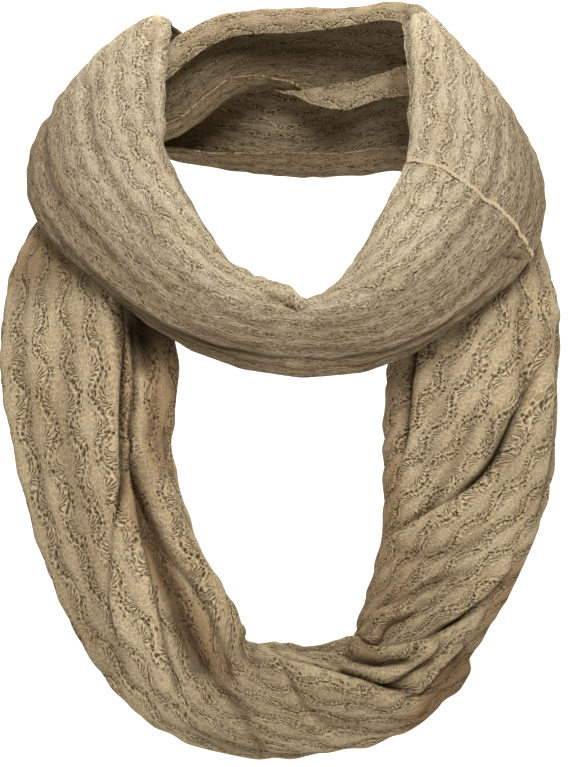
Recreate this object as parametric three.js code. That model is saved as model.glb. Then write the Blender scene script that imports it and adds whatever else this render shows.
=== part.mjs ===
import * as THREE from 'three';

// A knitted infinity scarf, worn in two turns round a neck that is not there.
// Millimetres, +Z up. The front faces -Y. The origin is in the neck opening, at the nape's height,
// where a neck would carry the scarf.
// The cloth is one long loop. It runs across the front of the neck, over the right shoulder, behind
// the nape, under the neck turn at the left shoulder, down to the hanging turn and back up.
// Left and right are those of somebody who looks at its front.

const wallThickness = 2; // soft knit with its lace relief
const seamGap = 0.3; // between the ends of two stretches
const pointsAcross = 34; // over the gathered width of the cloth
const samplingBias = 0.2; // evens the spacing of those points on a flat section
const probe = 0.01; // step that measures the surface's slopes, in sections or degrees

// One row for each section of the loop, in the order of the cloth's run.
// x, y, z: its centre. halfWidth, halfDepth: the half axes of the gathered cloth.
// faceX, faceY, faceZ: where its face looks. wrapIn, wrapOut: how far, in degrees from the face,
// the cloth curls round towards the neck or the gap, and towards the outer rim.
const sectionColumns = ['x', 'y', 'z', 'halfWidth', 'halfDepth', 'faceX', 'faceY', 'faceZ', 'wrapIn', 'wrapOut'];
const sections = {
  leftShoulder: [-113, 12, -11, 62, 22, -0.7, 0, 0.7, 108, 96],
  leftFrontHigh: [-112, -45, -61, 52, 20, -0.62, -0.62, 0.45, 112, 94],
  leftFront: [-77, -87, -113, 40, 19, -0.35, -0.78, 0.5, 118, 108],
  leftFrontLow: [-35, -109, -148, 32, 20, -0.12, -0.74, 0.65, 125, 122],
  frontCentre: [11, -116, -161, 29, 20, 0, -0.62, 0.78, 130, 125],
  rightFrontLow: [53, -109, -149, 34, 20, 0.12, -0.74, 0.65, 125, 122],
  rightFront: [92, -87, -112, 43, 19, 0.35, -0.78, 0.5, 118, 108],
  rightFrontHigh: [117, -45, -66, 52, 20, 0.62, -0.62, 0.45, 112, 94],
  rightShoulder: [110, 12, -12, 63, 22, 0.7, 0, 0.7, 108, 96],
  rightBackUpper: [80, 62, 15, 42, 18, 0.5, 0.66, 0.45, 125, 110],
  napeUpperRight: [44, 80, 20, 33, 17, 0.28, 0.9, 0.35, 132, 96],
  napeUpper: [4, 84, 26, 26, 16, 0, 0.97, 0.25, 150, 126],
  napeUpperLeft: [-38, 62, 19, 26, 11, -0.3, 0.93, 0.2, 150, 150],
  leftBackUpper: [-72, 38, -6, 28, 9, -0.55, 0.75, 0.2, 150, 150],
  leftUnder: [-103, 4, -26, 36, 8, -0.7, 0, 0.6, 150, 150],
  leftUnderFront: [-118, -27, -84, 46, 8, -0.55, -0.7, 0.2, 150, 150],
  leftArmTop: [-123, -51, -131, 49, 14, -0.25, -0.95, 0, 150, 150],
  leftArmHigh: [-118, -72, -180, 52, 22, -0.1, -1, 0, 152, 152],
  leftArm: [-114, -80, -233, 45, 23, 0, -1, 0, 152, 152],
  leftArmLow: [-99, -86, -285, 44, 23, 0, -1, 0, 152, 152],
  leftTurn: [-74, -91, -335, 43, 22, 0, -1, 0, 152, 152],
  bottomLeft: [-40, -96, -372, 35, 21, 0, -1, 0, 152, 152],
  bottom: [9, -100, -377, 35, 21, 0, -1, 0, 152, 152],
  bottomRight: [60, -98, -365, 32, 21, 0, -1, 0, 152, 152],
  rightTurn: [81, -92, -332, 36, 22, 0, -1, 0, 152, 152],
  rightArmLow: [99, -86, -288, 43, 23, 0, -1, 0, 152, 152],
  rightArm: [110, -79, -239, 52, 24, 0, -1, 0, 152, 152],
  rightArmHigh: [113, -70, -189, 53, 23, 0.08, -1, 0, 152, 152],
  rightArmTop: [120, -53, -136, 50, 16, 0.25, -0.95, 0, 150, 150],
  rightUnderFront: [122, -29, -86, 42, 8, 0.55, -0.7, 0.2, 150, 150],
  rightUnder: [108, 4, -26, 37, 8, 0.7, 0, 0.6, 150, 150],
  rightBackLower: [73, 48, -22, 32, 10, 0.55, 0.75, 0.2, 150, 150],
  napeLowerRight: [42, 67, -27.5, 28, 12, 0.3, 0.95, 0.05, 150, 150],
  napeLower: [4, 89, -29, 26, 16, 0, 0.97, -0.1, 118, 148],
  napeLowerLeft: [-44, 88, -20, 30, 16, -0.25, 0.93, 0.2, 98, 138],
  leftBackLower: [-87, 67, -3, 45, 19, -0.5, 0.66, 0.4, 96, 122],
};

// Folds run along the cloth. Each has three points: a place along the loop, counted in sections from
// leftShoulder, and an angle across the section from its face, positive towards the outer rim.
// spread: half the fold's width in degrees. height: how far it stands out, or sinks in, in mm.
const foldColumns = ['from', 'fromAngle', 'mid', 'midAngle', 'to', 'toAngle', 'spread', 'height'];
const softFolds = {
  leftStrandGroove: [16.8, -40, 17.5, -34, 18.3, -31, 8, -4],
  leftLongValley: [18.1, -31, 19.4, -29, 20.9, -8, 10, -6.5],
  leftInnerStrand: [17.8, -42, 19.2, -56, 20.8, -72, 10, 3.5],
  leftInnerTrough: [17.6, -76, 19, -84, 20.4, -104, 9, -3.5],
  leftFrontTrough: [16.2, 4, 18, 17, 20.3, 46, 11, -2.5],
  leftOuterTrough: [15.8, 44, 18, 52, 20.4, 64, 11, -2.5],
  leftSideRidge: [16, 72, 18.3, 76, 20.9, 82, 12, 2.5],
  leftBackTrough: [16.2, 122, 18.4, 118, 20.8, 124, 10, -5],
  leftBackRidge: [16.2, -118, 18.2, -112, 20.2, -122, 11, 4],
  bottomDiagonal: [21.6, -52, 22.12, 10, 22.6, 62, 12, -4.5],
  bottomLowTrough: [20.8, 46, 21.6, 58, 22.6, 90, 10, -3],
  bottomBackTrough: [21, 110, 22.2, 128, 23.4, 112, 11, -4.5],
  bottomBackRidge: [21.2, -132, 22.2, -124, 23.2, -132, 11, 3],
  rightFoldBetween: [22.4, -44, 23.14, -10, 24, 22, 10, -3.5],
  rightHoleFold: [23.7, -76, 24.4, -14, 25, 32, 10, -3.5],
  rightInnerStrip: [24.9, -68, 26, -54, 28, -52, 9, -5],
  rightMiddleFold: [25, -42, 25.9, -12, 26.9, 6, 10, -3],
  rightHighFold: [26.6, 40, 27.6, 26, 28.8, 20, 11, -3],
  rightSideTrough: [25.4, 76, 26.4, 86, 28, 80, 11, -4],
  rightBackRidge: [24.4, 118, 26.2, 124, 28, 112, 11, 4.5],
  rightBackTrough: [24.6, -122, 26.2, -110, 28, -118, 11, -4.5],
  neckLowRollLeft: [-0.4, 24, 1.9, 33, 4.2, 58, 10, -3.5],
  neckLowRollRight: [3.6, 58, 5.6, 46, 8.6, 26, 10, -3.5],
  neckMiddleLeft: [0, -14, 2.1, -5, 4, 34, 11, -2.5],
  neckMiddleRight: [3.8, 32, 5.4, 8, 8, 0, 11, -2.5],
  neckInnerRollLeft: [-0.6, -56, 1.4, -46, 3.6, -8, 13, 2.5],
  neckInnerRollRight: [4.2, -8, 5.6, -28, 8.6, -54, 13, 2.5],
  napeUpperTrough: [8.8, 10, 11, 14, 13.4, 8, 14, -3.5],
  napeUpperRidge: [8.6, -42, 11.2, -50, 13.6, -44, 14, 3],
  napeLowerTrough: [30.4, 4, 33, -8, 35.4, 6, 14, -3.5],
  napeLowerRidge: [30.6, 48, 33.2, 52, 35.6, 44, 14, 3],
};

// Lapped folds have a steep edge, where one layer ends over the next. A negative spread puts the
// upper layer on the outer side.
const lappedFolds = {
  leftFrontLayer: [15.9, -34, 17.4, -21, 18.8, -6, -10, 5],
  leftWedgeLeft: [18.3, -16, 19, 1, 20, 34, 9, 2.5],
  leftWedgeRight: [17.7, -30, 19.22, -15, 20.8, 25, -10, 4.5],
  leftStrandLeft: [17.8, -33, 19.6, -47, 21.2, -30, 10, 3.5],
  bottomSheetEdge: [21.3, -72, 22.34, -25, 23.3, 48, -12, 7],
  rightLowerEdge: [22.9, 26, 23.5, 31, 24.1, 46, 11, 5.5],
  rightLowerLap: [22.8, -64, 23.6, -20, 24.2, 22, -11, 5],
  rightRim: [23.9, 6, 24.6, 38, 25.4, 56, 11, 5],
  rightUpperLap: [24.65, -70, 25.6, 0, 27.2, 44, -12, 7.5],
  rightStripEdge: [24.9, -58, 26, -47, 28, -45, -10, 3.5],
};
const foldFadeShare = 0.4; // of a fold's length, over which it dies away at each end
const longestFade = 0.8; // in sections
const foldBaseWidth = 40; // half width at which a spread holds as stated
const foldBaseDepth = 20; // half depth at which a height holds as stated

// The stretches of the loop that show, each a piece of its own. steps: rings along it.
const stretchColumns = ['from', 'to', 'steps', 'color'];
const stretches = {
  neck_turn_front: [-0.4, 6.62, 20, 0xcdbc9e],
  neck_turn_right: [6.62, 8.4, 5, 0xcdbc9e],
  nape_turn_upper: [8.4, 14.6, 10, 0xb9a684],
  hanging_turn_left: [14.6, 20.4, 20, 0xb9a684],
  hanging_turn_bottom: [20.4, 23.7, 20, 0xb2a07c],
  hanging_turn_right: [23.7, 30.4, 36, 0xb9a684],
  nape_turn_lower: [30.4, 35.6, 8, 0xb2a07c],
};

const named = (columns, row) => Object.fromEntries(columns.map((column, i) => [column, row[i]]));
const sectionList = Object.values(sections).map((row) => named(sectionColumns, row));
const softList = Object.values(softFolds).map((row) => named(foldColumns, row));
const lappedList = Object.values(lappedFolds).map((row) => named(foldColumns, row));
const sectionCount = sectionList.length;

// A smooth closed curve through one column of the section table.
function along(column, place, slope = false) {
  const start = Math.floor(place);
  const t = place - start;
  const value = (i) => sectionList[(((start + i) % sectionCount) + sectionCount) % sectionCount][column];
  const [a, b, c, d] = [value(-1), value(0), value(1), value(2)];
  const square = 2 * a - 5 * b + 4 * c - d;
  const cube = 3 * b - a - 3 * c + d;
  if (slope) return 0.5 * (c - a + 2 * square * t + 3 * cube * t * t);
  return 0.5 * (2 * b + (c - a) * t + square * t * t + cube * t ** 3);
}

function sectionAt(place) {
  const centre = new THREE.Vector3(...['x', 'y', 'z'].map((column) => along(column, place)));
  const run = new THREE.Vector3(...['x', 'y', 'z'].map((column) => along(column, place, true))).normalize();
  const face = new THREE.Vector3(...['faceX', 'faceY', 'faceZ'].map((column) => along(column, place)));
  face.addScaledVector(run, -face.dot(run)).normalize();
  const side = new THREE.Vector3().crossVectors(run, face);
  return { centre, run, face, side, halfWidth: along('halfWidth', place), halfDepth: along('halfDepth', place) };
}

// The angle of a point across the cloth, from the inner edge at 0 to the outer edge at 1.
function angleAt(place, across) {
  const wrapIn = along('wrapIn', place);
  const wrapOut = along('wrapOut', place);
  const even = THREE.MathUtils.degToRad(-wrapIn + (wrapIn + wrapOut) * across);
  return THREE.MathUtils.radToDeg(even - samplingBias * Math.sin(2 * even));
}

const softProfile = (s) => Math.exp(-s * s);

function lappedProfile(s) {
  const layer = 0.5 * (1 - Math.tanh(1.5 * s)) * Math.exp(-((Math.min(s, 0) / 3) ** 2));
  const shadowTrough = 0.45 * Math.exp(-(((s - 0.8) / 0.75) ** 2));
  return layer - shadowTrough;
}

function foldHeight(fold, profile, place, angle, section) {
  const half = sectionCount / 2;
  const turned = (((place - fold.mid + half) % sectionCount) + sectionCount) % sectionCount;
  const p = fold.mid + turned - half;
  if (p <= fold.from || p >= fold.to) return 0;
  const fade = Math.min(longestFade, foldFadeShare * (fold.to - fold.from));
  const rise = THREE.MathUtils.smoothstep(p, fold.from, fold.from + fade);
  const fall = 1 - THREE.MathUtils.smoothstep(p, fold.to - fade, fold.to);
  const first = ((p - fold.mid) * (p - fold.to)) / ((fold.from - fold.mid) * (fold.from - fold.to));
  const second = ((p - fold.from) * (p - fold.to)) / ((fold.mid - fold.from) * (fold.mid - fold.to));
  const third = ((p - fold.from) * (p - fold.mid)) / ((fold.to - fold.from) * (fold.to - fold.mid));
  const crest = fold.fromAngle * first + fold.midAngle * second + fold.toAngle * third;
  const spread = fold.spread * THREE.MathUtils.clamp(foldBaseWidth / section.halfWidth, 0.8, 1.6);
  const depthShare = THREE.MathUtils.clamp(section.halfDepth / foldBaseDepth, 0.45, 1.1);
  return fold.height * depthShare * rise * fall * profile((angle - crest) / spread);
}

function outerPoint(place, angle) {
  const section = sectionAt(place);
  const radians = THREE.MathUtils.degToRad(angle);
  const sine = Math.sin(radians);
  const cosine = Math.cos(radians);
  const point = section.centre.clone();
  point.addScaledVector(section.side, section.halfWidth * sine);
  point.addScaledVector(section.face, section.halfDepth * cosine);
  const outward = new THREE.Vector3();
  outward.addScaledVector(section.side, sine / section.halfWidth);
  outward.addScaledVector(section.face, cosine / section.halfDepth).normalize();
  let height = 0;
  for (const fold of softList) height += foldHeight(fold, softProfile, place, angle, section);
  for (const fold of lappedList) height += foldHeight(fold, lappedProfile, place, angle, section);
  return point.addScaledVector(outward, height);
}

function slopeAlong(place, angle) {
  const ahead = outerPoint(place + probe, angle);
  return ahead.sub(outerPoint(place - probe, angle)).divideScalar(2 * probe);
}

// The inner side of the wall lies one thickness below the outer, square to the folded surface.
// At a seam it keeps to the plane of the section, so that the two cut ends face each other.
function wallPoints(place, angle, atSeam) {
  const outer = outerPoint(place, angle);
  const acrossSlope = outerPoint(place, angle + 1).sub(outerPoint(place, angle - 1));
  const outward = new THREE.Vector3().crossVectors(acrossSlope, slopeAlong(place, angle)).normalize();
  const { run } = sectionAt(place);
  if (atSeam) outward.addScaledVector(run, -outward.dot(run)).normalize();
  return { outer, inner: outer.clone().addScaledVector(outward, -wallThickness) };
}

// Each point of an end ring stands half a gap back from the seam.
function placeAt(stretch, ring, across) {
  const backFrom = (end) => {
    const speed = slopeAlong(end, angleAt(end, across)).dot(sectionAt(end).run);
    return seamGap / 2 / speed;
  };
  const start = stretch.from + backFrom(stretch.from);
  const stop = stretch.to - backFrom(stretch.to);
  return start + ((stop - start) * ring) / stretch.steps;
}

function stretchGeometry(stretch) {
  const outer = [];
  const inner = [];
  for (let ring = 0; ring <= stretch.steps; ring += 1) {
    const atSeam = ring === 0 || ring === stretch.steps;
    for (let i = 0; i < pointsAcross; i += 1) {
      const across = i / (pointsAcross - 1);
      const place = placeAt(stretch, ring, across);
      const points = wallPoints(place, angleAt(place, across), atSeam);
      outer.push(points.outer);
      inner.push(points.inner);
    }
  }
  const positions = [...outer, ...inner].flatMap((point) => point.toArray());
  const innerStart = outer.length;
  const triangles = [];
  const quad = (a, b, c, d) => triangles.push(a, b, c, a, c, d);
  const at = (ring, i) => ring * pointsAcross + i;
  const last = pointsAcross - 1;
  for (let ring = 0; ring < stretch.steps; ring += 1) {
    for (let i = 0; i < last; i += 1) {
      const corners = [at(ring, i), at(ring, i + 1), at(ring + 1, i + 1), at(ring + 1, i)];
      quad(...corners);
      quad(...corners.reverse().map((corner) => corner + innerStart));
    }
    for (const [i, turn] of [[0, false], [last, true]]) {
      const strip = [at(ring, i), at(ring + 1, i), at(ring + 1, i) + innerStart, at(ring, i) + innerStart];
      quad(...(turn ? strip.reverse() : strip));
    }
  }
  for (const [ring, turn] of [[0, true], [stretch.steps, false]]) {
    for (let i = 0; i < last; i += 1) {
      const strip = [at(ring, i), at(ring, i + 1), at(ring, i + 1) + innerStart, at(ring, i) + innerStart];
      quad(...(turn ? strip.reverse() : strip));
    }
  }
  const geometry = new THREE.BufferGeometry();
  geometry.setAttribute('position', new THREE.Float32BufferAttribute(positions, 3));
  geometry.setIndex(triangles);
  geometry.computeVertexNormals();
  return geometry;
}

const scarf = new THREE.Group();
for (const [name, row] of Object.entries(stretches)) {
  const stretch = named(stretchColumns, row);
  const knit = new THREE.MeshStandardMaterial({ color: stretch.color, roughness: 0.95, metalness: 0 });
  const mesh = new THREE.Mesh(stretchGeometry(stretch), knit);
  mesh.name = name;
  scarf.add(mesh);
}

export default scarf;
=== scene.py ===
import math

import bpy
import numpy as np
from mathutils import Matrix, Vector


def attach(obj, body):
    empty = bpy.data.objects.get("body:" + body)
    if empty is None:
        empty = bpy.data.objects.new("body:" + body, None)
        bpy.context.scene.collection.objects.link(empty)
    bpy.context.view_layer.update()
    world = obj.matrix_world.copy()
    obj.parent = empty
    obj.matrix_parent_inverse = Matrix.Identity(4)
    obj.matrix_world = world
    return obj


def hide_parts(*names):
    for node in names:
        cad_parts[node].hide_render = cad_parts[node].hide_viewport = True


# A lace infinity scarf in two turns, dressed round its plain solids. Millimetres here, metres in the file.
mm = 0.001
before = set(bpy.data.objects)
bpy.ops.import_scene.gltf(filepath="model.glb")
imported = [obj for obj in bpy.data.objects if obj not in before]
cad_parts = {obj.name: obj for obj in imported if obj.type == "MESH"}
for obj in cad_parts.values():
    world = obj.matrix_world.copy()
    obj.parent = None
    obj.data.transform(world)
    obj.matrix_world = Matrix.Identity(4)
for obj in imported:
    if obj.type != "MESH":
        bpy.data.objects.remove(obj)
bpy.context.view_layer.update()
print("solids loaded")

# Where the loop runs: centre, half width, half depth, the way its face looks, and how far it curls in and out.
loopSections = {
    "leftShoulder": (-113, 12, -11, 62, 22, -0.7, 0, 0.7, 108, 96),
    "leftFrontHigh": (-112, -45, -61, 52, 20, -0.62, -0.62, 0.45, 112, 94),
    "leftFront": (-77, -87, -113, 40, 19, -0.35, -0.78, 0.5, 118, 108),
    "leftFrontLow": (-35, -109, -148, 32, 20, -0.12, -0.74, 0.65, 125, 122),
    "frontCentre": (11, -116, -161, 29, 20, 0, -0.62, 0.78, 130, 125),
    "rightFrontLow": (53, -109, -149, 34, 20, 0.12, -0.74, 0.65, 125, 122),
    "rightFront": (92, -87, -112, 43, 19, 0.35, -0.78, 0.5, 118, 108),
    "rightFrontHigh": (117, -45, -66, 52, 20, 0.62, -0.62, 0.45, 112, 94),
    "rightShoulder": (110, 12, -12, 63, 22, 0.7, 0, 0.7, 108, 96),
    "rightBackUpper": (80, 62, 15, 42, 18, 0.5, 0.66, 0.45, 125, 110),
    "napeUpperRight": (44, 80, 20, 33, 17, 0.28, 0.9, 0.35, 132, 96),
    "napeUpper": (4, 84, 26, 26, 16, 0, 0.97, 0.25, 150, 126),
    "napeUpperLeft": (-38, 62, 19, 26, 11, -0.3, 0.93, 0.2, 150, 150),
    "leftBackUpper": (-72, 38, -6, 28, 9, -0.55, 0.75, 0.2, 150, 150),
    "leftUnder": (-103, 4, -26, 36, 8, -0.7, 0, 0.6, 150, 150),
    "leftUnderFront": (-118, -27, -84, 46, 8, -0.55, -0.7, 0.2, 150, 150),
    "leftArmTop": (-123, -51, -131, 49, 14, -0.25, -0.95, 0, 150, 150),
    "leftArmHigh": (-118, -72, -180, 52, 22, -0.1, -1, 0, 152, 152),
    "leftArm": (-114, -80, -233, 45, 23, 0, -1, 0, 152, 152),
    "leftArmLow": (-99, -86, -285, 44, 23, 0, -1, 0, 152, 152),
    "leftTurn": (-74, -91, -335, 43, 22, 0, -1, 0, 152, 152),
    "bottomLeft": (-40, -96, -372, 35, 21, 0, -1, 0, 152, 152),
    "bottom": (9, -100, -377, 35, 21, 0, -1, 0, 152, 152),
    "bottomRight": (60, -98, -365, 32, 21, 0, -1, 0, 152, 152),
    "rightTurn": (81, -92, -332, 36, 22, 0, -1, 0, 152, 152),
    "rightArmLow": (99, -86, -288, 43, 23, 0, -1, 0, 152, 152),
    "rightArm": (110, -79, -239, 52, 24, 0, -1, 0, 152, 152),
    "rightArmHigh": (113, -70, -189, 53, 23, 0.08, -1, 0, 152, 152),
    "rightArmTop": (120, -53, -136, 50, 16, 0.25, -0.95, 0, 150, 150),
    "rightUnderFront": (122, -29, -86, 42, 8, 0.55, -0.7, 0.2, 150, 150),
    "rightUnder": (108, 4, -26, 37, 8, 0.7, 0, 0.6, 150, 150),
    "rightBackLower": (73, 48, -22, 32, 10, 0.55, 0.75, 0.2, 150, 150),
    "napeLowerRight": (42, 67, -27.5, 28, 12, 0.3, 0.95, 0.05, 150, 150),
    "napeLower": (4, 89, -29, 26, 16, 0, 0.97, -0.1, 118, 148),
    "napeLowerLeft": (-44, 88, -20, 30, 16, -0.25, 0.93, 0.2, 98, 138),
    "leftBackLower": (-87, 67, -3, 45, 19, -0.5, 0.66, 0.4, 96, 122),
}
loopRows = np.array(list(loopSections.values()), float)
loopCount = len(loopRows)

# Soft creases: path is (place along the loop, degrees across it), width and height in mm. Below 0 it is a trough.
softCreases = {
    "leftFrontTrough": {"path": [(16.2, 3), (16.97, 11), (17.69, 16), (18.41, 22), (19.3, 34), (20.3, 48)], "width": 9, "height": -2.6},
    "leftOuterTrough": {"path": [(15.8, 44), (17, 48), (18, 52), (19.2, 60), (20.4, 66)], "width": 8, "height": -2.2},
    "leftSideRidge": {"path": [(16, 70), (18.3, 74), (20.9, 82)], "width": 9, "height": 2.4},
    "leftBackPanelTrough": {"path": [(16.6, -58), (17.2, -56), (17.8, -58), (18.3, -66)], "width": 5, "height": -1.6},
    "leftSlit": {"path": [(16.0, -34), (16.7, -27), (17.26, -24), (17.74, -23), (18.4, -17), (18.8, -6)], "width": 3.2, "height": -8},
    "leftUnderBand": {"path": [(15.7, -62), (16.3, -54), (16.9, -46), (17.3, -42)], "width": 8, "height": -8},
    "rightUnderBand": {"path": [(27.4, -58), (28.1, -56), (28.8, -60), (29.4, -64)], "width": 8, "height": -8},
    "leftStrandGroove": {"path": [(16.4, -40), (16.8, -38), (17.1, -37), (17.4, -36), (17.7, -33), (18.2, -30)], "width": 2.2, "height": -6.5},
    "leftValley": {"path": [(17.9, -31), (18.3, -31), (18.8, -30), (19.3, -29), (19.75, -27), (20.2, -18), (20.9, -6)], "width": 8, "height": -11},
    "leftValleyFoot": {"path": [(19.8, -22), (20.5, -16), (21.2, -2), (21.7, 20)], "width": 6, "height": -3},
    "leftInnerStrand": {"path": [(17.9, -42), (18.5, -50), (19.2, -56), (19.8, -64), (20.7, -74), (21.3, -60)], "width": 9, "height": 3.5},
    "leftInnerTrough": {"path": [(17.6, -78), (19, -86), (20.4, -104)], "width": 7, "height": -3},
    "leftBackTrough": {"path": [(16.2, 122), (18.4, 118), (20.8, 128)], "width": 9, "height": -5},
    "leftBackRidge": {"path": [(16.2, -118), (18.2, -112), (20.2, -124)], "width": 9, "height": 4},
    "leftBackFold": {"path": [(15.6, 146), (17.4, 138), (19.4, 144), (21, 140)], "width": 6, "height": -3},
    "bottomLeftStreak": {"path": [(20.5, -23), (20.85, -14), (21.12, -8), (21.41, 18), (21.6, 44)], "width": 4, "height": -2.6},
    "bottomSmallCrease": {"path": [(21.3, 10), (21.41, 19), (21.55, 45), (21.7, 70)], "width": 3, "height": -3},
    "bottomSheetTrough": {"path": [(22.1, 10), (22.5, 34), (22.9, 62)], "width": 7, "height": -2.4},
    "bottomLowTrough": {"path": [(20.8, 52), (21.6, 66), (22.6, 92)], "width": 7, "height": -3},
    "bottomDeepSlot": {"path": [(22.35, -26), (22.62, -18), (22.85, -6), (23.05, 4)], "width": 3.4, "height": -8},
    "bottomInnerTrough": {"path": [(21.7, -84), (22.3, -74), (22.9, -66)], "width": 5, "height": -3},
    "bottomBackTrough": {"path": [(21, 112), (22.2, 128), (23.4, 114)], "width": 8, "height": -4.5},
    "bottomBackRidge": {"path": [(21.2, -134), (22.2, -126), (23.2, -132)], "width": 8, "height": 3},
    "rightFoldB": {"path": [(22.4, -60), (22.6, -47), (22.74, -35), (22.96, -23), (23.22, -10), (23.4, 1), (23.6, 8)], "width": 2.4, "height": -7},
    "rightTubeLow": {"path": [(22.4, -44), (22.62, -24), (22.9, -10), (23.14, -3), (23.45, 4), (23.8, 13)], "width": 4.5, "height": 4.2},
    "rightTubeHigh": {"path": [(22.5, -62), (22.75, -46), (23.08, -33), (23.4, -14), (23.64, 4), (23.9, 14)], "width": 4, "height": 3},
    "rightStripLow": {"path": [(22.3, -46), (22.48, -34), (22.6, -12), (22.72, 0)], "width": 2, "height": -3},
    "bottomTopEdge": {"path": [(21.9, -92), (22.2, -90), (22.56, -88)], "width": 12, "height": -4},
    "rightCornerBulge": {"path": [(23.25, 88), (23.55, 92), (23.85, 86)], "width": 14, "height": 4.5},
    "rightHoleCrease": {"path": [(23.7, -74), (24.07, -36), (24.24, -23), (24.41, -12), (24.65, 6), (24.96, 28)], "width": 3, "height": -3.6},
    "rightRolledFold": {"path": [(23.55, -70), (23.9, -38), (24.15, -22), (24.35, -6), (24.6, 14)], "width": 5, "height": 3.6},
    "rightUpperTrough": {"path": [(24.5, -52), (24.74, -29), (24.86, -9), (25.06, 11), (25.44, 31)], "width": 4.5, "height": -2.8},
    "rightSlit": {"path": [(25.55, -6), (25.85, 9), (26.1, 18), (26.45, 27), (26.75, 33)], "width": 3.2, "height": -8},
    "rightMidCrease": {"path": [(25.15, -36), (25.37, -24), (25.75, -17), (25.94, -10), (26.3, -3), (26.8, 4)], "width": 3, "height": -3.2},
    "rightMidRoll": {"path": [(25.2, -26), (25.5, -14), (25.9, -2), (26.3, 8), (26.8, 18)], "width": 6, "height": 2.4},
    "rightPanelTrough": {"path": [(25.6, -36), (26.2, -28), (27, -20), (27.8, -12)], "width": 6, "height": -2},
    "rightStripGroove": {"path": [(25.9, -52), (26.2, -49), (26.6, -47), (27.3, -46), (28.2, -48)], "width": 4.2, "height": -8},
    "rightSideTrough": {"path": [(25.4, 78), (26.4, 86), (28, 80)], "width": 8, "height": -4},
    "rightHighTrough": {"path": [(26.6, 40), (27.2, 30), (28, 24), (28.8, 20)], "width": 6, "height": -2.4},
    "rightBackRidge": {"path": [(24.4, 118), (26.2, 124), (28, 112)], "width": 9, "height": 4.5},
    "rightBackTrough": {"path": [(24.6, -122), (26.2, -112), (28, -118)], "width": 9, "height": -4.5},
    "rightBackFold": {"path": [(24.2, 140), (26, 146), (28.4, 136)], "width": 6, "height": -3},
    "neckLowRollLeft": {"path": [(-0.5, 26), (1.1, 31), (1.66, 27), (2.35, 39), (3.05, 53), (3.82, 60)], "width": 4.5, "height": -3},
    "neckLowRollRight": {"path": [(3.6, 59), (4.34, 55), (4.82, 55), (5.47, 46), (6.4, 44), (8.4, 30)], "width": 4.5, "height": -3},
    "neckLowFoldLeft": {"path": [(1, 54), (2, 62), (3.2, 76), (4.4, 80)], "width": 3.5, "height": -2.2},
    "neckLowFoldRight": {"path": [(4.2, 78), (5.2, 72), (6.2, 64), (7.4, 58)], "width": 3.5, "height": -2.2},
    "neckMidRollLeft": {"path": [(0.2, -14), (1.13, -14), (1.58, -10), (2.11, -5), (2.69, 5), (3.31, 20), (3.84, 31)], "width": 5, "height": -2.8},
    "neckMidRollRight": {"path": [(3.9, 30), (4.46, 20), (5.14, 9), (5.69, 6), (6.3, 2), (7.6, 0)], "width": 5, "height": -2.8},
    "neckInnerRollLeft": {"path": [(-0.4, -64), (0.98, -60), (1.66, -36), (2.42, -22), (3.26, -5)], "width": 7, "height": 2},
    "neckInnerRollRight": {"path": [(4.3, -8), (4.87, -18), (5.3, -24), (6.2, -38), (7.6, -52)], "width": 7, "height": 2},
    "neckStreakLeft": {"path": [(1.6, 8), (2.3, 18), (3, 32), (3.7, 44)], "width": 3, "height": -1.8},
    "neckStreakRight": {"path": [(4.1, 40), (4.7, 36), (5.4, 26), (6.2, 22)], "width": 3, "height": -1.8},
    "neckLipLeft": {"path": [(2.95, -62), (3.2, -52), (3.5, -42), (3.8, -36), (4.0, -34)], "width": 8, "height": 4},
    "neckHollowLeft": {"path": [(0.9, -100), (1.5, -96), (2.2, -90), (2.9, -84)], "width": 16, "height": -4.5},
    "neckInsideFold": {"path": [(-0.4, -76), (0.4, -72), (1.2, -74)], "width": 4, "height": -3},
    "neckInsideRight": {"path": [(7.3, -100), (8.2, -98), (9.2, -102)], "width": 9, "height": -3.5},
    "neckUnderLeft": {"path": [(0.6, 96), (1.5, 92), (2.2, 90), (3.2, 88), (4.4, 88)], "width": 13, "height": -6, "fade": 1.2},
    "neckUnderRight": {"path": [(3.6, 88), (4.5, 88), (5.1, 90), (5.8, 92), (6.6, 96)], "width": 12, "height": -4, "fade": 1.0},
    "neckTuck": {"path": [(6.28, 40), (6.44, 56), (6.52, 70), (6.56, 84)], "width": 2, "height": -4},
    "neckNotch": {"path": [(3.62, -16), (3.78, -12), (3.9, -10), (4.02, -15), (4.08, -30), (4.1, -52), (4.12, -80)], "width": 2.6, "height": -5.5},
    "napeUpperTrough": {"path": [(8.8, 12), (11, 16), (13.4, 10)], "width": 5, "height": -3},
    "napeUpperFold": {"path": [(8.6, 44), (10.4, 48), (12.6, 40)], "width": 4, "height": -2.4},
    "napeUpperRidge": {"path": [(8.6, -42), (11.2, -50), (13.6, -44)], "width": 6, "height": 2.4},
    "napeLowerTrough": {"path": [(30.4, 4), (33, -10), (35.4, 6)], "width": 5, "height": -3},
    "napeLowerFold": {"path": [(31.6, 34), (33.4, 30), (35.4, 36)], "width": 4, "height": -2.4},
    "napeLowerTop": {"path": [(31.6, -90), (32.8, -98), (34, -92)], "width": 10, "height": 5},
    "napeLowerRidge": {"path": [(30.6, 58), (33.2, 62), (35.6, 54)], "width": 6, "height": 2.4},
}

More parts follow.
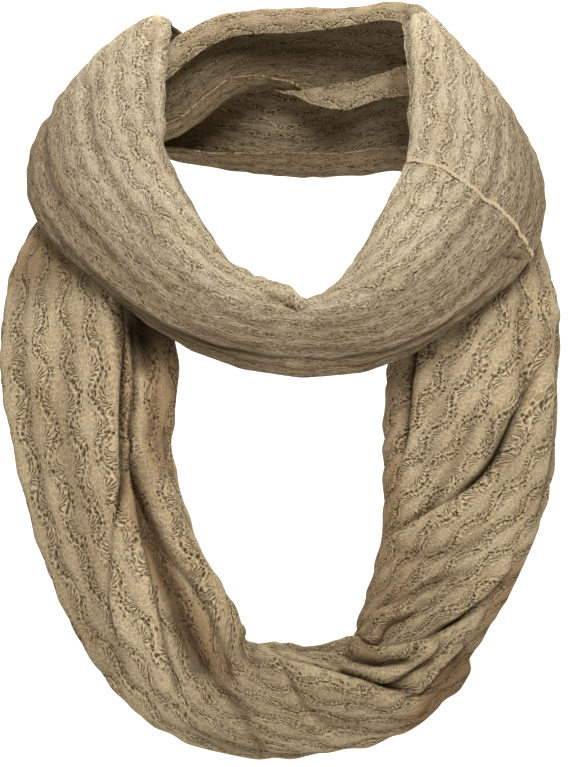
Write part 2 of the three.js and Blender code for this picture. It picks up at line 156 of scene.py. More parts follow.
# Laps: one layer ends over the next. upper names the side of the layer that lies on top.
lappedCreases = {
    "neckLipEdge": {"path": [(3.2, -30), (3.45, -27), (3.65, -23), (3.85, -18), (4.0, -13), (4.1, -8)], "upper": "inner", "width": 2.8, "height": 4.5},
    "leftFrontSheet": {"path": [(15.9, -34), (16.75, -29), (17.23, -21), (17.93, -19), (18.36, -15), (18.9, 0)], "upper": "outer", "width": 3.4, "height": 4.5},
    "leftWedgeRight": {"path": [(17.7, -30), (18.17, -28), (18.72, -21), (19.22, -15), (19.58, -9), (19.9, -3), (20.4, 13), (20.8, 27)], "upper": "outer", "width": 3.6, "height": 4},
    "leftStrandLeft": {"path": [(17.8, -32), (18.5, -36), (18.94, -40), (19.34, -43), (19.75, -50), (20.18, -51), (20.86, -43), (21.4, -18)], "upper": "inner", "width": 3.6, "height": 3.5},
    "leftWedgeLeft": {"path": [(18.3, -19), (18.77, -6), (19.08, 3), (19.49, 21), (20, 36)], "upper": "inner", "width": 3.4, "height": 2.2},
    "bottomSheetEdge": {"path": [(21.3, -72), (21.58, -59), (21.85, -40), (22.34, -25), (22.58, -16), (22.82, 0), (23.05, 22), (23.3, 52)], "upper": "outer", "width": 3.6, "height": 7},
    "bottomDiagonal": {"path": [(21.7, -46), (21.86, -30), (21.98, -4), (22.13, 16), (22.25, 28), (22.34, 37), (22.49, 52)], "upper": "outer", "width": 3, "height": 3.4},
    "rightLineC": {"path": [(22.55, -22), (22.82, -8), (23.02, -3), (23.3, 3), (23.5, 11), (23.76, 17), (24, 24)], "upper": "inner", "width": 3, "height": 5},
    "rightLineD": {"path": [(22.9, 26), (23.1, 26), (23.3, 28), (23.55, 32), (23.8, 37), (24.1, 44)], "upper": "inner", "width": 3.4, "height": 6},
    "rightLineA": {"path": [(22.55, -62), (22.72, -54), (23.05, -39), (23.3, -25), (23.5, -9), (23.66, 3), (23.82, 15), (24.05, 27), (24.24, 36), (24.45, 44)], "upper": "outer", "width": 3, "height": 6},
    "rightRollUnder": {"path": [(23.0, -52), (23.38, -40), (23.6, -39), (23.8, -33), (23.98, -20), (24.2, -6)], "upper": "inner", "width": 2.8, "height": 4.2},
    "rightRim": {"path": [(23.95, 10), (24.2, 20), (24.4, 28), (24.62, 38), (24.89, 48), (25.25, 54)], "upper": "inner", "width": 3.4, "height": 5},
    "rightUpperLap": {"path": [(24.65, -70), (25.03, -43), (25.27, -25), (25.42, -13), (25.58, -2), (25.8, 10), (26.02, 19), (26.4, 28), (26.78, 38), (27.3, 50)], "upper": "outer", "width": 3.6, "height": 5.5},
    "rightStripEdge": {"path": [(25.8, -51), (26.1, -48), (26.5, -45), (27.2, -44), (28, -46)], "upper": "outer", "width": 3, "height": 3.4},
}
creaseFade = 0.3
overhang = 0.55


def throughSections(column, place, slope=False):
    start = np.floor(place).astype(int)
    t = place - start
    a, b, c, d = (loopRows[(start + step) % loopCount, column] for step in (-1, 0, 1, 2))
    square = 2 * a - 5 * b + 4 * c - d
    cube = 3 * b - a - 3 * c + d
    if slope:
        return 0.5 * (c - a + 2 * square * t + 3 * cube * t * t)
    return 0.5 * (2 * b + (c - a) * t + square * t * t + cube * t**3)


def unit(vectors):
    return vectors / np.linalg.norm(vectors, axis=-1, keepdims=True)


def loopFrames(place):
    centre = np.stack([throughSections(i, place) for i in range(3)], -1)
    slope = np.stack([throughSections(i, place, True) for i in range(3)], -1)
    speed = np.linalg.norm(slope, axis=-1)
    run = unit(slope)
    face = np.stack([throughSections(i, place) for i in (5, 6, 7)], -1)
    face = unit(face - (face * run).sum(-1, keepdims=True) * run)
    return {
        "centre": centre,
        "run": run,
        "face": face,
        "side": np.cross(run, face),
        "speed": speed,
        "width": throughSections(3, place),
        "depth": throughSections(4, place),
        "wrapIn": throughSections(8, place),
        "wrapOut": throughSections(9, place),
    }


def smoothStep(value, low, high):
    t = np.clip((value - low) / (high - low), 0, 1)
    return t * t * (3 - 2 * t)


def softenedPath(path):
    # the path's points joined by lines, then rounded off
    places = np.linspace(path[0][0], path[-1][0], 241)
    angles = np.interp(places, *zip(*path))
    window = np.hanning(45)
    padded = np.concatenate([2 * angles[0] - angles[22:0:-1], angles, 2 * angles[-1] - angles[-2:-24:-1]])
    return places, np.convolve(padded, window / window.sum(), "valid")


def acrossCrease(crease, place, angle, section):
    # mm from the crease's line, and how much of it is left at its ends
    places, crest = softenedPath(crease["path"])
    middle = (places[0] + places[-1]) / 2
    turned = (place - middle + loopCount / 2) % loopCount + middle - loopCount / 2
    radians = np.radians(angle)
    perDegree = math.pi / 180 * np.hypot(section["width"] * np.cos(radians), section["depth"] * np.sin(radians))
    line = np.interp(turned, places, crest)
    lean = np.interp(turned, places, np.gradient(crest, places)) * perDegree / section["speed"]
    distance = (angle - line) * perDegree / np.sqrt(1 + lean**2)
    fade = min(crease.get("fade", creaseFade), 0.35 * (places[-1] - places[0]))
    left = smoothStep(turned, places[0], places[0] + fade) * (1 - smoothStep(turned, places[-1] - fade, places[-1]))
    return distance, left * np.clip(section["depth"] / 20, 0.45, 1.1)


def creased(place, angle, section):
    height = np.zeros_like(angle)
    slide = np.zeros_like(angle)
    shade = np.zeros_like(angle)
    for crease in softCreases.values():
        distance, left = acrossCrease(crease, place, angle, section)
        bump = np.exp(-((distance / crease["width"]) ** 2)) * left
        height += crease["height"] * bump
        if crease["height"] < 0:
            shade += bump**2 * min(1, -crease["height"] / 7)
    for crease in lappedCreases.values():
        distance, left = acrossCrease(crease, place, angle, section)
        toUpper = 1 if crease["upper"] == "outer" else -1
        s = -toUpper * distance / crease["width"]
        layer = 0.5 * (1 - np.tanh(2.4 * s)) * np.exp(-((np.minimum(s, 0) / 3.2) ** 2))
        under = np.exp(-(((s - 0.7) / 0.7) ** 2))
        height += crease["height"] * left * (layer - 0.5 * under)
        slide -= toUpper * overhang * crease["height"] * left * np.exp(-(((s + 0.25) / 0.75) ** 2))
        shade += 0.8 * left * np.exp(-(((s - 0.55) / 0.55) ** 2)) * min(1, crease["height"] / 5)
    return height, slide, np.clip(shade, 0, 1)


# The lace: columns of fans across the cloth, staggered, with a wavy row of holes between them.
# On the neck turn the cloth is gathered, so its columns are narrower, most of all at the outer edge.
lace = {
    "columns": 11.5,
    "columnsOnNeck": 11.5,
    "columnsAtBottom": 15.5,
    "gather": 0.28,
    "rowOnNeck": 27,
    "rowHanging": 35,
    "twistFrom": 20.2,
    "twistTo": 27.6,
    "twistColumns": 15,
    "wave": 0.24,
    "spineHeight": 0.5,
    "holeDepth": 0.7,
    "joinPlace": 6.62,
}


def hangingShare(place):
    # 0 on the neck turn, 1 on the hanging turn
    turned = np.where(place < 6, place + loopCount, place)
    return smoothStep(turned, 13, 15.5) * (1 - smoothStep(turned, 29, 31))


def bottomShare(place):
    # 1 where the hanging turn is drawn together at its lowest part
    return smoothStep(place, 19.6, 21.4) * (1 - smoothStep(place, 23.9, 25.6))


def laceRows(place):
    # rows of fans counted from the joining seam
    start = lace["joinPlace"]
    steps = np.linspace(start, start + loopCount, 3601)
    length = lace["rowOnNeck"] + (lace["rowHanging"] - lace["rowOnNeck"]) * hangingShare(steps)
    speed = loopFrames(steps)["speed"]
    rows = np.concatenate([[0], np.cumsum((speed / length)[1:] * np.diff(steps))])
    turned = (place - start) % loopCount + start
    return np.interp(turned, steps, rows)


def laceMap(place, across, section, afterJoin):
    turned = np.where(place < lace["joinPlace"] - 1e-9, place + loopCount, place)
    span = lace["twistTo"] - lace["twistFrom"]
    ease = smoothStep(turned, lace["twistFrom"], lace["twistTo"])
    linear = np.clip((turned - lace["twistFrom"]) / span, 0, 1)
    twist = lace["twistColumns"] * (0.5 * ease + 0.5 * linear)
    hanging = hangingShare(place)
    columns = lace["columnsOnNeck"] + (lace["columns"] - lace["columnsOnNeck"]) * hanging
    columns = columns + (lace["columnsAtBottom"] - lace["columns"]) * bottomShare(place)
    middle = across - 0.5
    spread = middle + lace["gather"] * (1 - hanging) * (middle**2 - 0.25)
    column = columns * spread - twist
    row = laceRows(place)
    if not afterJoin:
        row = np.where(np.abs(place - lace["joinPlace"]) < 1e-9, laceRows(place - 1e-6), row)
    lean = np.where((turned > lace["twistFrom"]) & (turned < lace["twistTo"]), lace["twistColumns"] / span, 0)
    lean = lean * smoothStep(turned, lace["twistFrom"], lace["twistFrom"] + 1.2)
    lean = lean * (1 - smoothStep(turned, lace["twistTo"] - 1.2, lace["twistTo"]))
    columnWidth = section["arc"] / lace["columns"]
    row = row + lace["columns"] * (across - 0.5) * columnWidth**2 * lean / section["speed"] / lace["rowHanging"]
    return column, row


def laceRelief(column, row, hanging):
    warped = column - lace["wave"] * np.cos(2 * math.pi * row) * np.sin(math.pi * column)
    nearest = np.round(warped)
    x = warped - nearest
    odd = np.mod(nearest, 2)
    y = row + odd / 2 - np.round(row + odd / 2)
    spine = np.exp(-((x / 0.17) ** 2))
    fan = np.exp(-((x / 0.3) ** 2) - ((y / 0.2) ** 2))
    edge = np.exp(-(((np.abs(x) - 0.5) / 0.1) ** 2))
    share = 0.6 + 0.4 * hanging
    beads = 0.55 + 0.45 * np.cos(2 * math.pi * y)
    return share * (lace["spineHeight"] * spine * beads - lace["holeDepth"] * edge + 0.7 * fan)


def evenAngles(place, steps):
    # angles that split each section's curl into equal lengths
    section = loopFrames(place)
    t = np.linspace(0, 1, 181)
    angles = -section["wrapIn"][:, None] + (section["wrapIn"] + section["wrapOut"])[:, None] * t
    radians = np.radians(angles)
    pace = np.hypot(section["width"][:, None] * np.cos(radians), section["depth"][:, None] * np.sin(radians))
    lengths = np.cumsum(pace * np.radians(angles[:, 1] - angles[:, 0])[:, None], axis=1)
    lengths -= lengths[:, :1]
    shares = np.linspace(0, 1, steps + 1)
    found = np.stack([np.interp(shares, row / row[-1], own) for row, own in zip(lengths, angles)])
    return found, lengths[:, -1]


def clothPoint(place, angle, section, column, row):
    radians = np.radians(angle)
    sine, cosine = np.sin(radians)[..., None], np.cos(radians)[..., None]
    width, depth = section["width"][..., None], section["depth"][..., None]
    out = unit(section["side"] * sine / width + section["face"] * cosine / depth)
    over = unit(section["side"] * width * cosine - section["face"] * depth * sine)
    height, slide, shade = creased(place, angle, section)
    height = height + laceRelief(column, row, hangingShare(place))
    point = section["centre"] + section["side"] * width * sine + section["face"] * depth * cosine
    return point + out * height[..., None] + over * slide[..., None], shade


# Warmer, shaded patches where an inner layer of the cloth shows: from, to, degrees from, degrees to, strength.
innerPatches = {
    "leftBackPanel": (16.2, 18.5, -100, -44, 0.9),
    "leftStrand": (16.6, 18.2, -36, -25, 0.7),
    "leftValleyFloor": (18.2, 21.2, -40, -14, 1.0),
    "rightStrip": (24.7, 26.3, -95, -50, 0.7),
    "rightStripHigh": (26.2, 28.4, -95, -50, 0.35),
    "rightLowLeft": (22.6, 24.9, -88, -24, 0.6),
    "rightCorner": (22.8, 24.0, 36, 100, 1.0),
    "rightUnderRim": (24.0, 25.2, 52, 100, 0.9),
    "underArms": (13.6, 16.0, -150, 150, 0.7),
    "underArmsRight": (28.8, 31.0, -150, 150, 0.7),
}


# Places in shade, and pockets too deep for any light.
deepPatches = {
    "underLip": (3.66, 4.04, -20, -2, 0.6),
    "underBandLeftArm": (15.4, 16.3, -32, 60, 0.45),
    "underBandRightArm": (28.2, 29.4, -30, 60, 0.45),
    "rightPocket": (26.0, 27.2, -54, -47, 0.5),
    "backCorner": (22.9, 24.1, 44, 110, 0.5),
    "rightStrip": (24.9, 28.2, -95, -54, 0.25),
}


# Painted shadow: pockets under the band and in the right slit, darkened almost to black: from, to, degrees from,
# degrees to, strength.
pocketPatches = {
    "underBandLeft": (15.6, 17.0, -105, -33, 1.0),
    "underBandRight": (27.2, 29.2, -90, -34, 0.8),
    "rightSlit": (25.9, 26.65, 8, 28, 0.3),
}


def patchShade(patches, place, angle):
    turned = np.where(place < 6, place + loopCount, place)
    total = np.zeros_like(angle)
    for start, stop, low, high, strength in patches.values():
        alongPart = smoothStep(turned, start - 0.15, start + 0.25) * (1 - smoothStep(turned, stop - 0.25, stop + 0.15))
        acrossPart = smoothStep(angle, low - 5, low + 5) * (1 - smoothStep(angle, high - 5, high + 5))
        total = np.maximum(total, strength * alongPart * acrossPart)
    return total


def gatheredAndShadedShare(place, angle):
    # the lower part of the neck turn, where the lace is drawn together into streaks, and the hanging turn's bottom; it
    # also weighs the painted shade there, darker towards the band's lower edge
    onBand = (1 - hangingShare(place)) * (0.3 + 0.7 * smoothStep(angle, -30, 35))
    return np.maximum(onBand, 0.4 * bottomShare(place))


# One piece for each stretch: where it starts and ends, rings along it, its flat cut and its tone.
stretches = {
    "neckTurnFront": {"node": "neck_turn_front", "from": -0.4, "to": 6.62, "rings": 290, "cut": (0.16, 0.42), "tone": "upper"},
    "neckTurnRight": {"node": "neck_turn_right", "from": 6.62, "to": 8.4, "rings": 80, "cut": (0.17, 0.12), "tone": "upper"},
    "napeTurnUpper": {"node": "nape_turn_upper", "from": 8.4, "to": 14.6, "rings": 150, "cut": (0.13, 0.27), "tone": "lower"},
    "hangingTurnLeft": {"node": "hanging_turn_left", "from": 14.6, "to": 20.4, "rings": 240, "cut": (0.19, 0.31), "tone": "lower"},
    "hangingTurnBottom": {"node": "hanging_turn_bottom", "from": 20.4, "to": 23.7, "rings": 140, "cut": (0.18, 0.16), "tone": "lower"},
    "hangingTurnRight": {"node": "hanging_turn_right", "from": 23.7, "to": 30.4, "rings": 290, "cut": (0.19, 0.36), "tone": "lower"},
    "napeTurnLower": {"node": "nape_turn_lower", "from": 30.4, "to": 35.6, "rings": 140, "cut": (0.14, 0.25), "tone": "lower"},
}
ringPoints = 150
clothThickness = 1.3


def knitStretch(name, settings):
    bpy.ops.object.select_all(action="DESELECT")
    bpy.ops.mesh.primitive_grid_add(x_subdivisions=ringPoints, y_subdivisions=settings["rings"], size=2)
    piece = bpy.context.object
    piece.name = name
    mesh = piece.data
    flat = np.zeros(len(mesh.vertices) * 3)
    mesh.vertices.foreach_get("co", flat)
    flat = flat.reshape(-1, 3)
    across = (flat[:, 0] + 1) / 2
    share = (flat[:, 1] + 1) / 2
    ring = np.rint(share * settings["rings"]).astype(int)
    point = np.rint(across * ringPoints).astype(int)
    places = np.linspace(settings["from"], settings["to"], settings["rings"] + 1)
    angles, arcs = evenAngles(places, ringPoints)
    place = places[ring]
    angle = angles[ring, point]
    section = loopFrames(place)
    section["arc"] = arcs[ring]
    column, row = laceMap(place, point / ringPoints, section, settings["from"] > 6)
    points, shade = clothPoint(place, angle, section, column, row)
    mesh.vertices.foreach_set("co", (points * mm).ravel())
    lengthOf = np.zeros(len(mesh.loops), int)
    mesh.loops.foreach_get("vertex_index", lengthOf)
    knitMap = mesh.uv_layers[0]
    knitMap.name = "knitMap"
    knitMap.uv.foreach_set("vector", np.stack([column, row], -1)[lengthOf].astype(np.float32).ravel())
    shade = np.maximum(shade, patchShade(deepPatches, place, angle))
    shades = {"creaseShade": shade, "pocketShade": patchShade(pocketPatches, place, angle), "innerShade": patchShade(innerPatches, place, angle), "gatheredAndShaded": gatheredAndShadedShare(place, angle)}
    for attributeName, values in shades.items():
        attribute = mesh.attributes.new(attributeName, "FLOAT", "POINT")
        attribute.data.foreach_set("value", values.astype(np.float32))
    mesh.update()
    wall = piece.modifiers.new("wall", "SOLIDIFY")
    wall.thickness = clothThickness * mm
    wall.offset = -1
    bpy.ops.object.modifier_apply(modifier="wall")
    bpy.ops.object.shade_smooth_by_angle(angle=math.radians(70))
    return piece


class Wire:
    def __init__(self, bench, socket):
        self.bench = bench
        self.socket = socket

    def maths(self, operation, *others):
        sockets = dict(enumerate((self, *others)))
        return self.bench.node("ShaderNodeMath", {"operation": operation}, sockets)

    def __add__(self, other):
        return self.maths("ADD", other)

    def __radd__(self, other):
        return self.maths("ADD", other)

    def __sub__(self, other):
        return self.maths("SUBTRACT", other)

    def __rsub__(self, other):
        return self.bench.node("ShaderNodeMath", {"operation": "SUBTRACT"}, {0: other, 1: self})

    def __mul__(self, other):
        return self.maths("MULTIPLY", other)

    def __rmul__(self, other):
        return self.maths("MULTIPLY", other)

    def __truediv__(self, other):
        return self.maths("DIVIDE", other)

    def __abs__(self):
        return self.maths("ABSOLUTE")


class Bench:
    def __init__(self, name):
        self.material = bpy.data.materials.new(name)
        self.material.use_nodes = True
        self.tree = self.material.node_tree
        self.shader = self.tree.nodes["Principled BSDF"]

    def connect(self, target, value):
        if isinstance(value, Wire):
            self.tree.links.new(value.socket, target)
        else:
            target.default_value = value

    def node(self, kind, settings, sockets, output=0):
        made = self.tree.nodes.new(kind)
        for setting, value in settings.items():
            setattr(made, setting, value)
        for socket, value in sockets.items():
            self.connect(made.inputs[socket], value)
        return Wire(self, made.outputs[output])

    def bump(self, value, width):
        # 1 at 0, falling to 0 one width away
        fall = (value / width).maths("MULTIPLY", value / width)
        return (0 - fall).maths("EXPONENT")

    def between(self, value, low, high):
        sockets = {0: value, 1: low, 2: high, 3: 0.0, 4: 1.0}
        return self.node("ShaderNodeMapRange", {"interpolation_type": "SMOOTHSTEP"}, sockets)

    def mix(self, factor, first, second):
        return self.node("ShaderNodeMix", {"data_type": "RGBA"}, {0: factor, 6: first, 7: second}, 2)


def paint(red, green, blue):
    # a colour as seen on a screen, made linear
    channel = [c / 255 / 12.92 if c < 10.3 else ((c / 255 + 0.055) / 1.055) ** 2.4 for c in (red, green, blue)]
    return (*channel, 1)


# Two copies of the one yarn: upper, for the neck turn, is painted paler where light falls from above; lower, for the
# nape and hanging turns, is painted darker as shade.
knitTones = {
    "upper": {"yarn": paint(180, 156, 117), "pale": paint(255, 243, 214), "inner": paint(190, 158, 122), "holeAndCreaseShade": paint(92, 70, 39), "shadow": paint(122, 88, 38), "mesh": (8.0, 9.5, 0.85)},
    "lower": {"yarn": paint(145, 122, 86), "pale": paint(227, 208, 173), "inner": paint(168, 136, 101), "holeAndCreaseShade": paint(76, 58, 32), "shadow": paint(118, 94, 55), "mesh": (9.0, 11.5, 0.95)},
}
pocketShadowTone = paint(34, 27, 15)


def laceKnit(name, tone):
    bench = Bench(name)
    mapped = bench.node("ShaderNodeUVMap", {"uv_map": "knitMap"}, {})
    column = bench.node("ShaderNodeSeparateXYZ", {}, {0: mapped}, 0)
    row = bench.node("ShaderNodeSeparateXYZ", {}, {0: mapped}, 1)
    # yarn is never quite even
    wander = bench.node("ShaderNodeTexNoise", {"noise_dimensions": "2D"}, {"Vector": mapped, "Scale": 2.3, "Detail": 2.0}) - 0.5
    jitter = bench.node("ShaderNodeTexNoise", {"noise_dimensions": "2D"}, {"Vector": mapped, "Scale": 7.0, "Detail": 1.0}) - 0.5
    patch = bench.node("ShaderNodeTexNoise", {"noise_dimensions": "2D"}, {"Vector": mapped, "Scale": 0.6, "Detail": 2.0}) - 0.5
    loops = bench.node("ShaderNodeTexNoise", {"noise_dimensions": "2D"}, {"Vector": mapped, "Scale": 15.0, "Detail": 3.0}) - 0.5
    column = column + wander * 0.22 + jitter * 0.06
    row = row + wander * 0.1 + jitter * 0.035
    turn = 2 * math.pi
    warped = column - (row * turn).maths("COSINE") * (column * math.pi).maths("SINE") * lace["wave"]
    nearest = warped.maths("ROUND")
    x = warped - nearest
    odd = nearest.maths("FLOORED_MODULO", 2.0)
    shifted = row + odd * 0.5
    y = shifted - shifted.maths("ROUND")
    aside = abs(x)
    # thin ribs fan out of a point on the spine, with slits between them
    reach = (0.19 - y) * 1.5
    swing = aside.maths("ARCTAN2", reach)
    radius = (aside * aside + reach * reach).maths("SQRT")
    ribs = (swing * 22.0 + jitter * 3.0).maths("COSINE")
    fanAt = bench.between(swing, 0.3, 0.5) * (1 - bench.between(swing, 2.0, 2.3)) * (1 - bench.between(radius, 0.4, 0.5))
    fan = fanAt * bench.between(radius, 0.15, 0.27) * (1 - bench.between(aside, 0.34, 0.41))
    slits = bench.between(ribs * -1.0, 0.1, 1.0) * fan
    # one row of bigger holes follows each wave, with a smooth thread on either side
    chain = (0.5 - aside) * 7.0
    beads = (row * (turn * 8.0) + odd * 1.1 + jitter * 4.0).maths("COSINE")
    uneven = bench.between(wander * 2.0 + jitter * 2.0 + 0.5, 0.0, 0.8)
    chainHoles = bench.bump(chain, 0.32) * bench.between(beads, -0.4, 0.5) * (uneven * 0.4 + 0.36)
    border = bench.bump(chain - 0.9, 0.32)
    # a mesh of small uneven holes between light threads fills the rest
    netPlace = bench.node("ShaderNodeCombineXYZ", {}, {0: column * tone["mesh"][0] + loops, 1: row * tone["mesh"][1] + wander, 2: 0.0})
    netSockets = {"Vector": netPlace, "Scale": 1.0, "Randomness": 0.85}
    netSettings = {"voronoi_dimensions": "2D", "feature": "F1"}
    netMiddle = bench.node("ShaderNodeTexVoronoi", netSettings, netSockets)
    netColour = bench.node("ShaderNodeTexVoronoi", netSettings, netSockets, 1)
    netChance = bench.node("ShaderNodeSeparateColor", {}, {0: netColour}, 0)
    netEdge = bench.node("ShaderNodeTexVoronoi", {"voronoi_dimensions": "2D", "feature": "DISTANCE_TO_EDGE"}, netSockets)
    stem = 1 - bench.between(aside, 0.08, 0.2)
    deep = bench.between(netChance + bench.between(aside, 0.1, 0.5) * 0.4 - stem * 0.5 - fan * 0.6 - border * 0.4, 0.35, 1.0)
    netHoles = (1 - bench.between(netMiddle, 0.1, 0.5)) * (deep * tone["mesh"][2] + 0.12)
    netThreads = 1 - bench.between(netEdge, 0.03, 0.2)
    # fine threads everywhere, drawn into streaks where the cloth is gathered
    stretched = bench.node("ShaderNodeCombineXYZ", {}, {0: column * 11.0, 1: row * 4.0, 2: 0.0})
    streaks = bench.node("ShaderNodeTexNoise", {"noise_dimensions": "2D"}, {"Vector": stretched, "Scale": 1.0, "Detail": 2.0}) - 0.5
    threads = (1.0 - abs(loops) * 9.0).maths("MAXIMUM", 0.0)
    lines = (1.0 - abs(streaks) * 8.0).maths("MAXIMUM", 0.0)
    gatheredAndShaded = bench.node("ShaderNodeAttribute", {"attribute_name": "gatheredAndShaded"}, {}, 2)
    crease = bench.node("ShaderNodeAttribute", {"attribute_name": "creaseShade"}, {}, 2)
    inner = bench.node("ShaderNodeAttribute", {"attribute_name": "innerShade"}, {}, 2)
    pocketShadow = bench.node("ShaderNodeAttribute", {"attribute_name": "pocketShade"}, {}, 2)
    dashes = bench.between(streaks * -1.0, 0.08, 0.2) * gatheredAndShaded
    open = chainHoles * (1.0 - gatheredAndShaded * 0.4) + netHoles * (1.0 - gatheredAndShaded * 0.3) + slits * 0.5 + dashes * 0.7
    open = open.maths("MINIMUM", 1.0)
    lift = netThreads * (0.4 - stem * 0.12) + ribs * fan * 0.35 + border * 0.34 + stem * 0.2 + threads * 0.2
    lift = lift + lines * (gatheredAndShaded * 0.4 + 0.08) + patch * 0.6 + streaks * 0.4 + 0.1
    lift = lift.maths("MAXIMUM", 0.0).maths("MINIMUM", 1.0)
    colour = bench.mix(lift, tone["yarn"], tone["pale"])
    # Painted shade: the warmer, darker inner tone on the shaded patches where an inner layer shows and under the band.
    colour = bench.mix(inner * 0.75, colour, tone["inner"])
    # Painted shade: the gathered lower part of the neck turn, darkest towards its lower edge, and the hanging turn's
    # bottom take the shadow tone.
    colour = bench.mix(gatheredAndShaded * 0.58, colour, tone["shadow"])
    # Painted shade: the lace's holes, slits and dashes are real openings, darkened in the hole tone to stand for the
    # shaded cloth seen through them.
    colour = bench.mix(open * 0.95, colour, tone["holeAndCreaseShade"])
    # Painted shade in the creases' troughs, under the laps' edges and on the deep patches, in the hole tone.
    colour = bench.mix(crease * 0.7, colour, tone["holeAndCreaseShade"])
    # Painted shadow: the near-black pocket tone where pocketShade is set.
    colour = bench.mix(pocketShadow * 0.85, colour, pocketShadowTone)
    relief = ribs * fan * 0.4 + netThreads * 0.4 + border * 0.5 + threads * 0.25 + lines * (gatheredAndShaded + 0.2) * 0.5 - open * 1.1
    bumped = bench.node("ShaderNodeBump", {}, {"Strength": 0.9, "Distance": 0.0009, "Height": relief})
    bench.connect(bench.shader.inputs["Base Color"], colour)
    bench.connect(bench.shader.inputs["Normal"], bumped)
    bench.connect(bench.shader.inputs["Roughness"], 0.88 + loops * 0.1)
    bench.shader.inputs["Sheen Weight"].default_value = 0.04
    bench.shader.inputs["Sheen Tint"].default_value = (1, 0.86, 0.62, 1)
    bench.shader.inputs["Sheen Roughness"].default_value = 0.5
    bench.shader.inputs["Specular IOR Level"].default_value = 0.06
    return bench.material


# The camera first: level, at the height of the scarf's middle, at the photograph's distance and lens.
cameraSetup = {"place": (0, -2.6, -0.188), "lens": 36 * 4200 / 569}
bpy.ops.object.select_all(action="DESELECT")
bpy.ops.object.camera_add(location=cameraSetup["place"], rotation=(math.radians(90), 0, 0))
camera = bpy.context.object
camera.data.sensor_fit = "HORIZONTAL"
camera.data.sensor_width = 36
camera.data.lens = cameraSetup["lens"]
bpy.context.scene.camera = camera
print("camera set")

knits = {name: laceKnit(name + "Knit", tone) for name, tone in knitTones.items()}
for name, settings in stretches.items():
    piece = knitStretch(name, settings)
    piece.data.materials.append(knits[settings["tone"]])
    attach(piece, "root")
    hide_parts(settings["node"])
    print("knitted", name, len(piece.data.polygons), "faces")

# A raised seam of small slanting stitches joins the ends of the cloth.
joinSeam = {"fromAngle": -84, "toAngle": 92, "pitch": 2.1, "length": 4.2, "thick": 1.5, "flat": 0.75, "rise": 0.25}


def sewJoin():
    angles = np.linspace(joinSeam["fromAngle"], joinSeam["toAngle"], 1200)
    place = np.full_like(angles, lace["joinPlace"])
    section = loopFrames(place)
    arcs = evenAngles(place[:1], ringPoints)[1][0]
    section["arc"] = np.full_like(angles, arcs)
    column, row = laceMap(place, (angles + section["wrapIn"]) / (section["wrapIn"] + section["wrapOut"]), section, True)
    points, _ = clothPoint(place, angles, section, column, row)
    lengths = np.concatenate([[0], np.cumsum(np.linalg.norm(np.diff(points, axis=0), axis=1))])
    radians = np.radians(angles)[:, None]
    out = unit(section["side"] * np.sin(radians) / section["width"][:, None] + section["face"] * np.cos(radians) / section["depth"][:, None])
    stitches = []
    for i, at in enumerate(np.arange(joinSeam["pitch"] / 2, lengths[-1], joinSeam["pitch"])):
        spot = int(np.searchsorted(lengths, at))
        bpy.ops.object.select_all(action="DESELECT")
        bpy.ops.mesh.primitive_uv_sphere_add(segments=10, ring_count=7, radius=1)
        stitch = bpy.context.object
        local = np.zeros(len(stitch.data.vertices) * 3)
        stitch.data.vertices.foreach_get("co", local)
        local = local.reshape(-1, 3)
        run = section["run"][spot]
        over = unit(np.cross(out[spot], run))
        slant = unit(run + 0.55 * over)
        square = unit(np.cross(out[spot], slant))
        swell = 1 + 0.18 * math.sin(i * 2.3)
        shaped = (
            local[:, :1] * slant * joinSeam["length"] / 2 * swell
            + local[:, 1:2] * square * joinSeam["thick"] * 0.8
            + local[:, 2:] * out[spot] * joinSeam["flat"]
        )
        centre = points[spot] + out[spot] * joinSeam["rise"]
        stitch.data.vertices.foreach_set("co", ((shaped + centre) * mm).ravel())
        stitches.append(stitch)
    bpy.ops.object.select_all(action="DESELECT")
    for stitch in stitches:
        stitch.select_set(True)
    bpy.context.view_layer.objects.active = stitches[0]
    bpy.ops.object.join()
    seam = bpy.context.object
    seam.name = "joiningSeam"
    bpy.ops.object.shade_smooth()
    return seam


def seamYarn():
    bench = Bench("seamYarn")
    coords = bench.node("ShaderNodeTexCoord", {}, {}, "Object")
    fibre = bench.node("ShaderNodeTexNoise", {}, {"Vector": coords, "Scale": 900.0, "Detail": 2.0})
    bench.connect(bench.shader.inputs["Base Color"], bench.mix(fibre, paint(178, 158, 124), paint(208, 190, 157)))
    bench.connect(bench.shader.inputs["Normal"], bench.node("ShaderNodeBump", {}, {"Strength": 0.5, "Distance": 0.0003, "Height": fibre}))
    bench.shader.inputs["Roughness"].default_value = 0.85
    bench.shader.inputs["Specular IOR Level"].default_value = 0.2
    return bench.material


seam = sewJoin()
seam.data.materials.append(seamYarn())
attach(seam, "root")
print("seam sewn")

# Pale floor that curves up into a backdrop, well below and behind the scarf.
studio = {"floorHeight": -1.15, "wallAt": 1.3, "bend": 0.5, "halfWidth": 4.0, "front": -4.5, "top": 3.2}


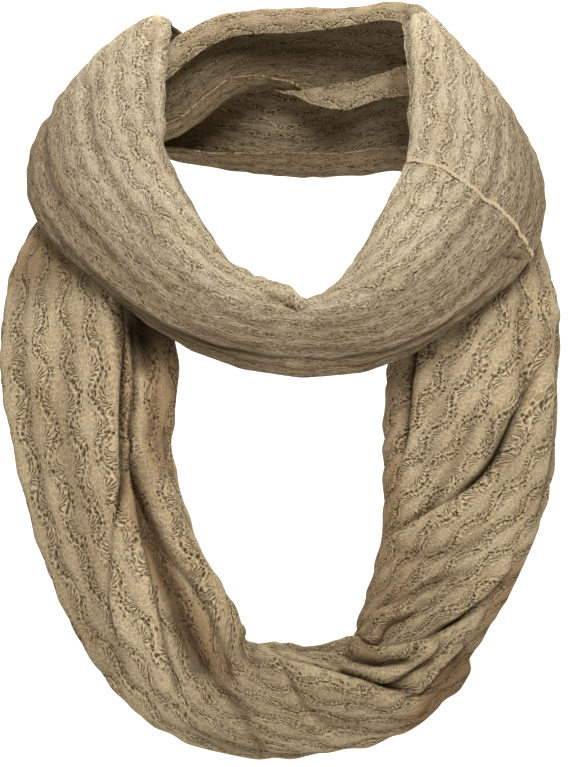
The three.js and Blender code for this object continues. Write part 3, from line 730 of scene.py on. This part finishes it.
def studioSweep():
    bpy.ops.object.select_all(action="DESELECT")
    bpy.ops.mesh.primitive_grid_add(x_subdivisions=2, y_subdivisions=40, size=2)
    sweep = bpy.context.object
    sweep.name = "studioFloor"
    floorLength = studio["wallAt"] - studio["bend"] - studio["front"]
    for vertex in sweep.data.vertices:
        step = round((vertex.co.y + 1) * 20)
        x = vertex.co.x * studio["halfWidth"]
        if step <= 10:
            vertex.co = (x, studio["front"] + floorLength * step / 10, studio["floorHeight"])
        elif step <= 30:
            turn = math.pi / 2 * (step - 10) / 20
            y = studio["wallAt"] - studio["bend"] + studio["bend"] * math.sin(turn)
            vertex.co = (x, y, studio["floorHeight"] + studio["bend"] * (1 - math.cos(turn)))
        else:
            low = studio["floorHeight"] + studio["bend"]
            vertex.co = (x, studio["wallAt"], low + (studio["top"] - low) * (step - 30) / 10)
    bpy.ops.object.shade_smooth()
    return sweep


def palePaint():
    bench = Bench("palePaint")
    coords = bench.node("ShaderNodeTexCoord", {}, {}, "Object")
    mottle = bench.node("ShaderNodeTexNoise", {}, {"Vector": coords, "Scale": 3.0})
    bench.connect(bench.shader.inputs["Base Color"], bench.mix(mottle, paint(246, 246, 245), paint(250, 250, 249)))
    bench.shader.inputs["Roughness"].default_value = 0.9
    return bench.material


floor = studioSweep()
floor.data.materials.append(palePaint())

lamps = {
    "overheadFront": {"place": (0.35, -2.0, 1.4), "size": 1.2, "power": 60},
    "frontFill": {"place": (-1.0, -2.2, 0.2), "size": 1.6, "power": 5},
    "backdropWash": {"place": (0, 0.6, 0.95), "size": 1.6, "power": 30},
}
aims = {"overheadFront": (0, -0.05, -0.2), "frontFill": (0, -0.05, -0.2), "backdropWash": (0, 1.3, 0.3)}
for name, lamp in lamps.items():
    bpy.ops.object.light_add(type="AREA", location=lamp["place"])
    light = bpy.context.object
    light.name = name
    light.data.shape = "DISK"
    light.data.size = lamp["size"]
    light.data.energy = lamp["power"]
    toward = Vector(aims[name]) - Vector(lamp["place"])
    light.rotation_euler = toward.to_track_quat("-Z", "Y").to_euler()
world = bpy.context.scene.world or bpy.data.worlds.new("studioAir")
bpy.context.scene.world = world
world.use_nodes = True
world.node_tree.nodes["Background"].inputs["Color"].default_value = (1, 0.92, 0.78, 1)
world.node_tree.nodes["Background"].inputs["Strength"].default_value = 0.26
bpy.context.scene.view_settings.view_transform = "Standard"
print("floor and lights placed")
